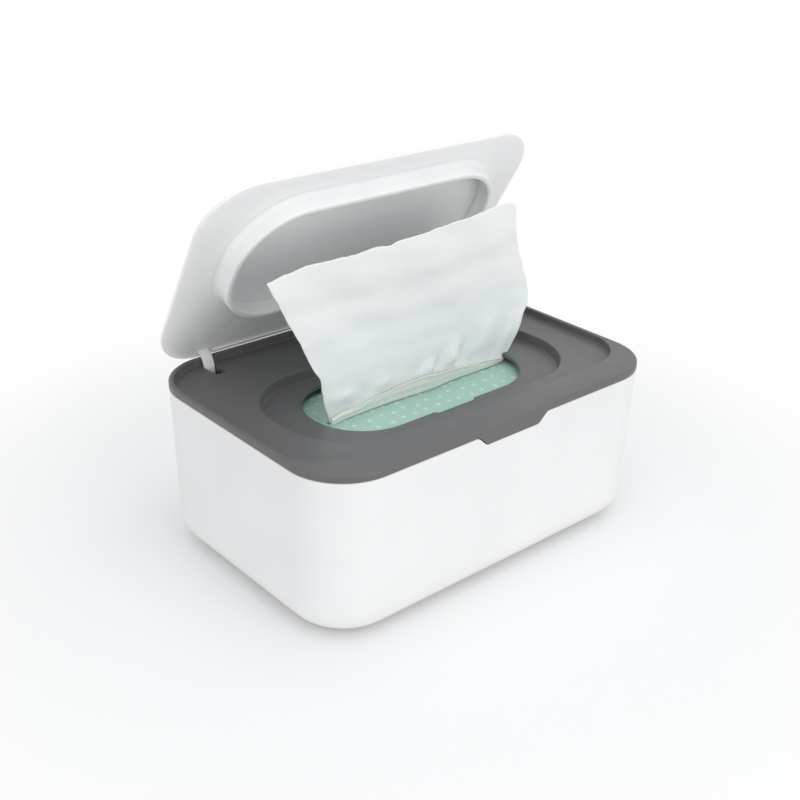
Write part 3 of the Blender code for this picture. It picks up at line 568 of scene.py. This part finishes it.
arm_reach = HINGE.y - lid_rear + ARM_ROOT_SETBACK
arm_climb = lid_underside + LID_TAPER_RISE / 2 - HINGE.z
arm_points = [Vector((HINGE.y - arm_reach * a, HINGE.z + arm_climb * b)) for a, b in ARM_SHARES]
arm_outline = strip_outline(smooth_path(arm_points, 8), ARM_THICKNESS)
lid_additions = []
for arm_x in (-ARM_X, ARM_X):
    arm_place = Matrix.Translation((arm_x, 0, 0)) @ ACROSS
    lid_additions.append(extruded("arm", arm_outline, ARM_WIDTH, arm_place, ARM_THICKNESS / 6))
    stud_half = ARM_WIDTH / 2 + FIT_GAP + EAR_WALL - STUD_SHORT
    for radius, length in ((BOSS_RADIUS, ARM_WIDTH), (STUD_RADIUS, 2 * stud_half)):
        round_bar = bmesh.new()
        bmesh.ops.create_cone(round_bar, cap_ends=True, segments=32, radius1=radius, radius2=radius,
                              depth=length, matrix=Matrix.Translation((arm_x, HINGE.y, HINGE.z)) @ ACROSS)
        lid_additions.append(new_piece("round_bar", round_bar))
rib_y = lid_rear - REAR_RIB_SETBACK + REAR_RIB_THICKNESS / 2
rib_plan = (ARM_X - ARM_WIDTH, REAR_RIB_THICKNESS / 2, REAR_RIB_THICKNESS / 4, 0.0, rib_y)
lid_additions.append(moulding("rear_rib", [plan_ring(rib_plan, 0.0, lid_underside - REAR_RIB_DEPTH),
                                           plan_ring(rib_plan, 0.0, lid_underside + LID_THICKNESS / 2)]))
shaped_by(lid, lid_additions, 'UNION')
lid.data.transform(swing_open)
lid_plastic = moulded_plastic("white lid plastic", LID_WHITE, 0.40, 2600.0, 0.00002)
finished(lid, "lid", "lid_shell", lid_plastic, "lid")


# Seal ring
# A soft white silicone ring, U-shaped in section, pushed over the lid's oval rib. It presses on
# the recess of the cover when the lid is shut and keeps the wipes moist.
SEAL_WHITE = (0.87, 0.87, 0.87)
FLARE_WIDTH = 0.003
FLARE_HEIGHT = 0.0026
FLARE_STEPS = 7

ring_top = lid_underside - FIT_GAP / 2
seal_span = 2 * rib_outer + RIB_WALL
seal_rings = [plan_ring(SEAL_PLAN, SEAL_WALL / 2, ring_top), plan_ring(SEAL_PLAN, SEAL_WALL, ring_top)]
seal_rings.append(plan_ring(SEAL_PLAN, SEAL_WALL, seal_crest + SEAL_WEB))
seal_rings.append(plan_ring(SEAL_PLAN, seal_span - SEAL_WALL, seal_crest + SEAL_WEB))
seal_rings.append(plan_ring(SEAL_PLAN, seal_span - SEAL_WALL, ring_top))
seal_rings.append(plan_ring(SEAL_PLAN, seal_span - SEAL_WALL / 2, ring_top))
for side, rise in reversed(edge_round(SEAL_WALL / 2, 3)):
    seal_rings.append(plan_ring(SEAL_PLAN, seal_span - SEAL_WALL / 2 + rise, ring_top - side))
for side, rise in reversed(edge_round(SEAL_ROUND * 2, 6)):
    seal_rings.append(plan_ring(SEAL_PLAN, seal_span - side, seal_crest + rise))
for side, rise in edge_round(SEAL_ROUND * 2, 6):
    seal_rings.append(plan_ring(SEAL_PLAN, side, seal_crest + rise))
for step in range(FLARE_STEPS + 1):
    turn = math.pi / 2 * step / FLARE_STEPS
    seal_rings.append(plan_ring(SEAL_PLAN, FLARE_WIDTH * (math.cos(turn) - 1),
                                ring_top - FLARE_HEIGHT * (1 - math.sin(turn))))
seal = moulding("seal_ring", seal_rings, closed=True)
seal.data.transform(swing_open)

silicone, silicone_nodes, silicone_links = node_material("white silicone")
silicone_shader = silicone_nodes["Principled BSDF"]
silicone_mottle = spread(silicone_nodes, silicone_links,
                         noise_of(silicone_nodes, silicone_links, 60.0), 0.0, 1.0)
silicone_links.new(tinted(silicone_nodes, silicone_links, silicone_mottle, (0.84, 0.84, 0.84), SEAL_WHITE),
                   silicone_shader.inputs["Base Color"])
silicone_shader.inputs["Roughness"].default_value = 0.5
silicone_shader.inputs["IOR"].default_value = 1.42
silicone_grain = noise_of(silicone_nodes, silicone_links, 3000.0)
silicone_links.new(bumped(silicone_nodes, silicone_links, silicone_grain, 0.3, 0.00002),
                   silicone_shader.inputs["Normal"])
finished(seal, "lid", "seal", silicone, "lid_seal_ring")


# Refill pack
# The wipes come in a pillow-shaped bag of printed plastic film, welded shut, that lies in the box.
# Its top sags a little between the wipes and rises to the slit, and the thin film crinkles.
PACK_PLAN = (0.084, 0.052, 0.020, 0.0, 0.0)
PACK_TOP = 0.0654
PACK_SHOULDER = 0.012
PACK_DOME = 0.0016
FILM = 0.00045
SLIT_PLAN = (0.052, 0.0009, 0.0006, 0.0035, -0.0035)
SIDE_SHARES = ((1.0, 0.0), (0.42, 0.03), (0.08, 0.12), (0.0, 0.32), (0.0, 0.6), (0.08, 0.83), (0.42, 0.93),
               (1.0, 1.0))
DOME_STEPS = 14
LONGEST_EDGE = 0.003
CRINKLE = 0.00055
CRINKLE_START = 0.003
CRINKLE_FULL = 0.014
SEA_GREEN = (0.41, 0.63, 0.545)
PALE_GREEN = (0.66, 0.80, 0.74)
DOT_SPACING = 0.0068
DOT_RADIUS = 0.0011
DOT_EDGE = 0.00012

pack_bottom = WALL + FIT_GAP
pack_side = PACK_TOP - PACK_DOME - pack_bottom
shoulder_plan = (PACK_PLAN[0] - PACK_SHOULDER, PACK_PLAN[1] - PACK_SHOULDER,
                 PACK_PLAN[2] - PACK_SHOULDER, 0.0, 0.0)
film_levels = [(PACK_PLAN, PACK_SHOULDER * side, pack_side * up)
               for side, up in smooth_path([Vector(share) for share in SIDE_SHARES], 4)[:-1]]
for step in range(DOME_STEPS + 1):
    share = step / DOME_STEPS
    plan = tuple(a + (b - a) * share for a, b in zip(shoulder_plan, SLIT_PLAN))
    film_levels.append((plan, 0.0, pack_side + PACK_DOME * (1 - (1 - share) ** 2)))
squeeze = 1 - 2 * FILM / (PACK_TOP - pack_bottom)
film_rings = [plan_ring(plan, inset, pack_bottom + rise) for plan, inset, rise in film_levels]
film_rings.append(plan_ring(SLIT_PLAN, 0.0, pack_bottom + FILM + film_levels[-1][2] * squeeze))
film_rings += [plan_ring(plan, inset + FILM, pack_bottom + FILM + rise * squeeze)
               for plan, inset, rise in reversed(film_levels[:-1])]
film = moulding("film_bag", film_rings)
film_shape = bmesh.new()
film_shape.from_mesh(film.data)
long_edges = [edge for edge in film_shape.edges if edge.calc_length() > 4 * LONGEST_EDGE
              and len(edge.link_faces) == 2 and all(len(face.verts) == 4 for face in edge.link_faces)]
bmesh.ops.subdivide_edges(film_shape, edges=long_edges, cuts=32, use_grid_fill=True)
for vert in film_shape.verts:
    x, y, z = vert.co
    from_slit = math.hypot(max(abs(x - SLIT_PLAN[3]) - SLIT_PLAN[0], 0.0), y - SLIT_PLAN[4])
    share = min(max((from_slit - CRINKLE_START) / CRINKLE_FULL, 0.0), 1.0)
    height = min(max((z - pack_bottom) / pack_side, 0.0), 1.0) ** 3
    crease = noise.noise(Vector((x * 55, y * 140, 3.0))) + 0.5 * noise.noise(Vector((x * 190, y * 260, 7.0)))
    vert.co.z += CRINKLE * share * height * crease
film_shape.to_mesh(film.data)
film_shape.free()

film_finish, film_nodes, film_links = node_material("printed film")
film_shader = film_nodes["Principled BSDF"]
film_tone = spread(film_nodes, film_links, noise_of(film_nodes, film_links, 30.0, 3.0), 0.0, 1.0)
film_base = tinted(film_nodes, film_links, film_tone, tuple(c * 0.96 for c in SEA_GREEN), SEA_GREEN)
film_place = film_nodes.new("ShaderNodeTexCoord")
dots = film_nodes.new("ShaderNodeTexVoronoi")
dots.voronoi_dimensions = '2D'
dots.inputs["Scale"].default_value = 1 / DOT_SPACING
dots.inputs["Randomness"].default_value = 0.35
film_links.new(film_place.outputs["Object"], dots.inputs["Vector"])
printed = film_nodes.new("ShaderNodeMapRange")
printed.inputs["From Min"].default_value = (DOT_RADIUS - DOT_EDGE) / DOT_SPACING
printed.inputs["From Max"].default_value = (DOT_RADIUS + DOT_EDGE) / DOT_SPACING
printed.inputs["To Min"].default_value = 0.7
printed.inputs["To Max"].default_value = 0.0
film_links.new(dots.outputs["Distance"], printed.inputs["Value"])
print_mix = film_nodes.new("ShaderNodeMix")
print_mix.data_type = 'RGBA'
film_links.new(printed.outputs["Result"], print_mix.inputs["Factor"])
film_links.new(film_base, print_mix.inputs["A"])
print_mix.inputs["B"].default_value = (*PALE_GREEN, 1.0)
film_links.new(print_mix.outputs["Result"], film_shader.inputs["Base Color"])
film_gloss = spread(film_nodes, film_links, noise_of(film_nodes, film_links, 90.0, 3.0), 0.26, 0.40)
film_links.new(film_gloss, film_shader.inputs["Roughness"])
film_creases = noise_of(film_nodes, film_links, 260.0, 3.0)
film_links.new(bumped(film_nodes, film_links, film_creases, 0.35, 0.0002), film_shader.inputs["Normal"])
finished(film, "base", "film", film_finish, "wipes_pack", angle=60)


# Folded wipes
# The stack of moist wipes in the bag: sheets of white nonwoven, each folded and laid in the next,
# so that one draws the next one up. Their rounded folds make its sides look layered.
STACK_PLAN = (0.079, 0.047, 0.015, 0.0, 0.0)
STACK_TOP_DROP = 0.004
STACK_LAYERS = 14
STACK_GROOVE = 0.0008
STACK_EDGE = 0.009

stack_bottom = pack_bottom + FILM + FIT_GAP
stack_top = PACK_TOP - STACK_TOP_DROP
layer = (stack_top - stack_bottom) / STACK_LAYERS
stack_rings = [plan_ring(STACK_PLAN, STACK_EDGE, stack_bottom)]
for index in range(STACK_LAYERS):
    edge_inset = 2 * STACK_GROOVE if index in (0, STACK_LAYERS - 1) else 0.0
    for share in (0.3, 0.5, 0.7):
        stack_rings.append(plan_ring(STACK_PLAN, edge_inset + STACK_GROOVE * abs(share - 0.5),
                                     stack_bottom + layer * (index + share)))
    if index < STACK_LAYERS - 1:
        stack_rings.append(plan_ring(STACK_PLAN, STACK_GROOVE, stack_bottom + layer * (index + 1)))
stack_rings.append(plan_ring(STACK_PLAN, STACK_EDGE, stack_top))
stack = moulding("folded_wipes", stack_rings)


def nonwoven(name, low_colour, high_colour, low_z, high_z):
    """Moist nonwoven: matted short fibres and rows of fine embossed dots, its colour blended by height from
    the low colour to the high one as painted light and shade.
    """
    material, nodes, links = node_material(name)
    shader = nodes["Principled BSDF"]
    place = nodes.new("ShaderNodeTexCoord")
    axes = nodes.new("ShaderNodeSeparateXYZ")
    links.new(place.outputs["Object"], axes.inputs["Vector"])
    # Painted light and shade: the base colour goes from the low colour to the high one with the height.
    height = nodes.new("ShaderNodeMapRange")
    height.interpolation_type = 'SMOOTHSTEP'
    height.inputs["From Min"].default_value = low_z
    height.inputs["From Max"].default_value = high_z
    links.new(axes.outputs["Z"], height.inputs["Value"])
    links.new(tinted(nodes, links, height.outputs["Result"], low_colour, high_colour),
              shader.inputs["Base Color"])
    dots = nodes.new("ShaderNodeTexVoronoi")
    dots.inputs["Scale"].default_value = 700.0
    dots.inputs["Randomness"].default_value = 0.25
    links.new(place.outputs["Object"], dots.inputs["Vector"])
    fibres = noise_of(nodes, links, 1500.0, 4.0)
    relief = nodes.new("ShaderNodeMath")
    relief.operation = 'MULTIPLY_ADD'
    relief.inputs[1].default_value = 0.7
    links.new(dots.outputs["Distance"], relief.inputs[0])
    links.new(fibres, relief.inputs[2])
    links.new(bumped(nodes, links, relief.outputs["Value"], 0.45, 0.0002), shader.inputs["Normal"])
    shader.inputs["Roughness"].default_value = 0.85
    shader.inputs["Subsurface Weight"].default_value = 0.25
    shader.inputs["Subsurface Radius"].default_value = (1.0, 1.0, 1.0)
    shader.inputs["Subsurface Scale"].default_value = 0.002
    return material


# Painted shade: the stack is a darker copy of the nonwoven, darker still towards its foot deep in the bag.
stack_nonwoven_painted_shade = nonwoven("stack nonwoven with painted shade", (0.76, 0.80, 0.81), (0.80, 0.83, 0.84), 0.0, 0.06)
finished(stack, "base", "wipes", stack_nonwoven_painted_shade, "wipe_stack", angle=80)


# Lip of the slit
# The front edge of the film's slit is pulled up with the wipe and turns its pale unprinted inside
# to the front, in a strip with a wavy rim and one long crease.
LIP_HEIGHT = 0.0096
LIP_THICKNESS = 0.0004
LIP_FORWARD_SHARES = ((-1.0, 0.0025), (-0.7, 0.0012), (-0.3, 0.0012), (0.1, 0.0022), (0.4, 0.0010),
                      (0.8, 0.0010), (1.0, 0.0008))
LIP_LEAN = math.tan(math.radians(9))
LIP_CREASE = 0.0004
LIP_WAVE = 0.0006
LIP_SHARES = ((-1.0, 0.35), (-0.85, 0.5), (-0.6, 0.6), (-0.3, 0.88), (0.0, 1.0), (0.3, 0.82), (0.6, 0.62),
              (0.8, 0.55), (0.96, 0.35), (1.0, 0.2))
CREAM = (0.90, 0.91, 0.86)


def read_table(shares, place):
    """Read a smooth curve through a table of (place, share)."""
    curve = smooth_path([Vector(pair) for pair in shares], 8)
    return float(np.interp(place, [point.x for point in curve], [point.y for point in curve]))


lip_shape = bmesh.new()
bmesh.ops.create_grid(lip_shape, x_segments=160, y_segments=14, size=0.5)
for vert in lip_shape.verts:
    across = 2 * vert.co.x
    up = vert.co.y + 0.5
    height = LIP_HEIGHT * read_table(LIP_SHARES, across)
    rim_wave = LIP_WAVE * (noise.noise(Vector((across * 9, 1.5, 0)))
                           + 0.5 * noise.noise(Vector((across * 31, 2, 0))))
    height = max(height + rim_wave, LIP_HEIGHT * 0.15)
    x = SLIT_PLAN[3] + SLIT_PLAN[0] * across
    crease = LIP_CREASE * math.sin(math.tau * (up * 1.6 + 0.25 * across))
    sway = LIP_WAVE * noise.noise(Vector((across * 5, up * 1.2, 9)))
    lean = LIP_LEAN * height * up * (0.6 + 0.9 * up)
    forward = (read_table(LIP_FORWARD_SHARES, across)
               + 0.5 * LIP_WAVE * noise.noise(Vector((across * 11, 0, 5))))
    vert.co = (x, SLIT_PLAN[4] - forward - lean + (crease + sway) * up,
               PACK_TOP + FIT_GAP * 1.5 + height * up * (1 - 0.12 * up))
bmesh.ops.recalc_face_normals(lip_shape, faces=lip_shape.faces)
lip = new_piece("turned_lip", lip_shape)
lip_sheet = lip.modifiers.new("film thickness", 'SOLIDIFY')
lip_sheet.thickness = LIP_THICKNESS
lip_sheet.offset = 0.0
lip_finish = moulded_plastic("unprinted film", CREAM, 0.5, 1200.0, 0.00005)
finished(lip, "base", "film_inside", lip_finish, "slit_lip", angle=80)


# Drawn-up wipe
# The top wipe stands in the slit, pulled halfway out: a limp sheet of nonwoven that spreads
# upwards, bends over softly at its fold line, and is gathered in small creases at its foot.
WIPE_HEIGHT = 0.075
WIPE_THICKNESS = 0.00035
WIPE_FOOT_HALF = 0.051
WIPE_FORWARD = 0.005
WIPE_BILLOW = 0.0035
WIPE_RIPPLE = 0.0013
WIPE_COLUMNS = 200
WIPE_ROWS = 120
FOLD_HEIGHT = 0.66
FOLD_DEPTH = 0.0009
FOOT_CREASES = 0.0016
RIM_WEAR = 0.0007
LEFT_SHARES = ((0.0, -1.0), (0.06, -1.02), (0.13, -1.05), (0.27, -1.08), (0.37, -1.16), (0.64, -1.35),
               (0.92, -1.57), (1.0, -1.62))
RIGHT_SHARES = ((0.0, 1.0), (0.04, 1.07), (0.09, 1.13), (0.2, 1.19), (0.3, 1.23), (0.38, 1.29), (0.47, 1.29),
                (0.6, 1.225), (0.75, 1.15), (0.9, 1.085), (1.0, 1.07), (1.04, 1.04))
TOP_SHARES = ((0.0, 0.92), (0.12, 0.945), (0.3, 0.972), (0.41, 0.988), (0.44, 0.99), (0.5, 1.018),
              (0.72, 1.04), (0.95, 1.045), (1.0, 1.035))
FOOT_PLEATS = ((0.64, 0.030, 0.16, 0.08, -0.0022), (0.69, 0.022, 0.13, 0.09, 0.0020),
               (0.52, 0.030, 0.12, 0.06, -0.0018), (0.57, 0.018, 0.13, 0.06, 0.0014),
               (0.82, 0.050, 0.24, 0.12, -0.0016), (0.10, 0.060, 0.12, 0.05, -0.0020),
               (0.30, 0.060, 0.13, 0.05, -0.0014), (0.20, 0.030, 0.11, 0.05, 0.0012))


def bell(value, middle, width):
    return math.exp(-((value - middle) / width) ** 2)


def dense(shares):
    curve = smooth_path([Vector(pair) for pair in shares], 8)
    return [point.x for point in curve], [point.y for point in curve]


left_curve, right_curve, top_curve = dense(LEFT_SHARES), dense(RIGHT_SHARES), dense(TOP_SHARES)
wipe_foot = stack_top + FIT_GAP
wipe_edge = PACK_TOP + FIT_GAP
wipe_shape = bmesh.new()
bmesh.ops.create_grid(wipe_shape, x_segments=WIPE_COLUMNS, y_segments=WIPE_ROWS, size=0.5)
for vert in wipe_shape.verts:
    across, up = vert.co.x + 0.5, vert.co.y + 0.5
    wear = RIM_WEAR * (noise.noise(Vector((across * 14, 4, 0)))
                       + 0.4 * noise.noise(Vector((across * 60, 5, 0))))
    top = wipe_edge + WIPE_HEIGHT * float(np.interp(across, *top_curve)) + wear
    z = wipe_foot + (top - wipe_foot) * up
    rise = max((z - wipe_edge) / WIPE_HEIGHT, 0.0)
    left = float(np.interp(rise, *left_curve))
    right = float(np.interp(rise, *right_curve))
    side_wear = 0.5 * RIM_WEAR * noise.noise(Vector((rise * 16, 8 + round(across), 0))) * min(rise * 6, 1)
    x = SLIT_PLAN[3] + WIPE_FOOT_HALF * (left + (right - left) * across) + side_wear
    free = rise * rise * (3 - 2 * min(rise, 1.0))
    billow = WIPE_BILLOW * math.sin(math.tau * (1.15 * across + 0.1))
    ripple = WIPE_RIPPLE * math.sin(math.tau * (3.6 * across + 0.8 * rise))
    y = SLIT_PLAN[4] - WIPE_FORWARD * across * free + (billow + 0.5 * ripple) * free
    fold = FOLD_HEIGHT + 0.05 * (across - 0.5)
    y += FOLD_DEPTH * bell(rise, fold + 0.05, 0.075)
    loose = min(rise * 7, 1.0) ** 2
    pleats = noise.noise(Vector((across * 17, rise * 2.2, 11))) * bell(rise, 0.06, 0.14)
    y += FOOT_CREASES * pleats * loose
    for middle, width, level, depth, push in FOOT_PLEATS:
        y += push * bell(across, middle, width) * bell(rise, level, depth) * loose
    y += 0.0005 * noise.noise(Vector((across * 7, rise * 9, 21))) * loose
    y -= 0.0022 * max(across - 0.93, 0.0) / 0.07 * bell(rise, 0.27, 0.12)
    vert.co = (x, y, z)
bmesh.ops.recalc_face_normals(wipe_shape, faces=wipe_shape.faces)
wipe = new_piece("drawn_up_wipe", wipe_shape)
wipe_sheet = wipe.modifiers.new("sheet thickness", 'SOLIDIFY')
wipe_sheet.thickness = WIPE_THICKNESS
wipe_sheet.offset = 0.0
# Painted light and shade: the drawn-up wipe is a lighter copy of the nonwoven, greyer at its top and lighter
# and bluer at its foot.
wipe_nonwoven_painted_shading = nonwoven("embossed nonwoven", (0.90, 0.95, 0.95), (0.88, 0.88, 0.88), 0.095, 0.120)
finished(wipe, "wipe", "wipe", wipe_nonwoven_painted_shading, "pulled_wipe", angle=80)


# Studio
# A white table under soft, even light from a white sky and three large panels: overhead, in front
# and on the left. The table fades into the white round it, and keeps the object's soft shadow.
TABLE_SIZE = 0.6
TABLE_COLOUR = (0.93, 0.93, 0.93)
TABLE_FADE_START = 0.13
TABLE_FADE_END = 0.30
SKY_STRENGTH = 0.72

table_shape = bmesh.new()
bmesh.ops.create_grid(table_shape, x_segments=1, y_segments=1, size=TABLE_SIZE,
                      matrix=Matrix.Translation((0, 0, cad_low.z)))
table = new_piece("table", table_shape)
table_finish, table_nodes, table_links = node_material("white table")
table_nodes["Principled BSDF"].inputs["Base Color"].default_value = (*TABLE_COLOUR, 1.0)
table_nodes["Principled BSDF"].inputs["Roughness"].default_value = 0.9
table_nodes["Principled BSDF"].inputs["Specular IOR Level"].default_value = 0.0
table_place = table_nodes.new("ShaderNodeTexCoord")
from_middle = table_nodes.new("ShaderNodeVectorMath")
from_middle.operation = 'LENGTH'
table_links.new(table_place.outputs["Object"], from_middle.inputs[0])
fade = table_nodes.new("ShaderNodeMapRange")
fade.interpolation_type = 'SMOOTHSTEP'
fade.inputs["From Min"].default_value = TABLE_FADE_START
fade.inputs["From Max"].default_value = TABLE_FADE_END
table_links.new(from_middle.outputs["Value"], fade.inputs["Value"])
clear = table_nodes.new("ShaderNodeBsdfTransparent")
table_mix = table_nodes.new("ShaderNodeMixShader")
table_links.new(fade.outputs["Result"], table_mix.inputs["Fac"])
table_links.new(table_nodes["Principled BSDF"].outputs["BSDF"], table_mix.inputs[1])
table_links.new(clear.outputs["BSDF"], table_mix.inputs[2])
table_links.new(table_mix.outputs["Shader"], table_nodes["Material Output"].inputs["Surface"])
table.data.materials.append(table_finish)

world = bpy.data.worlds.new("studio")
bpy.context.scene.world = world
world.use_nodes = True
sky_nodes, sky_links = world.node_tree.nodes, world.node_tree.links
lit = sky_nodes["Background"]
lit.inputs["Color"].default_value = (0.97, 0.985, 1.0, 1.0)
lit.inputs["Strength"].default_value = SKY_STRENGTH
seen = sky_nodes.new("ShaderNodeBackground")
seen.inputs["Color"].default_value = (1.0, 1.0, 1.0, 1.0)
seen.inputs["Strength"].default_value = 1.0
rays = sky_nodes.new("ShaderNodeLightPath")
seen_or_clear = sky_nodes.new("ShaderNodeMath")
seen_or_clear.operation = 'MAXIMUM'
sky_links.new(rays.outputs["Is Camera Ray"], seen_or_clear.inputs[0])
sky_links.new(rays.outputs["Is Transmission Ray"], seen_or_clear.inputs[1])
or_glossy = sky_nodes.new("ShaderNodeMath")
or_glossy.operation = 'MAXIMUM'
sky_links.new(seen_or_clear.outputs["Value"], or_glossy.inputs[0])
sky_links.new(rays.outputs["Is Glossy Ray"], or_glossy.inputs[1])
sky_mix = sky_nodes.new("ShaderNodeMixShader")
sky_links.new(or_glossy.outputs["Value"], sky_mix.inputs["Fac"])
sky_links.new(lit.outputs["Background"], sky_mix.inputs[1])
sky_links.new(seen.outputs["Background"], sky_mix.inputs[2])
sky_links.new(sky_mix.outputs["Shader"], sky_nodes["World Output"].inputs["Surface"])


def panel(name, place, target, size, power):
    """A square soft light that faces a point of the object."""
    lamp = bpy.data.lights.new(name, 'AREA')
    lamp.shape = 'SQUARE'
    lamp.size = size
    lamp.energy = power
    item = bpy.data.objects.new(name, lamp)
    bpy.context.scene.collection.objects.link(item)
    item.location = place
    item.rotation_euler = (Vector(target) - Vector(place)).to_track_quat('-Z', 'Y').to_euler()
    return item


panel("overhead panel", (0.1, -0.1, 1.3), (0, 0, 0.05), 1.2, 4.2)
panel("front panel", (0.1, -1.3, 0.35), (0, 0, 0.06), 1.0, 5.0)
panel("left panel", (-1.25, -0.45, 0.35), (0, 0, 0.06), 0.8, 3.0)

bpy.context.scene.view_settings.view_transform = 'Standard'
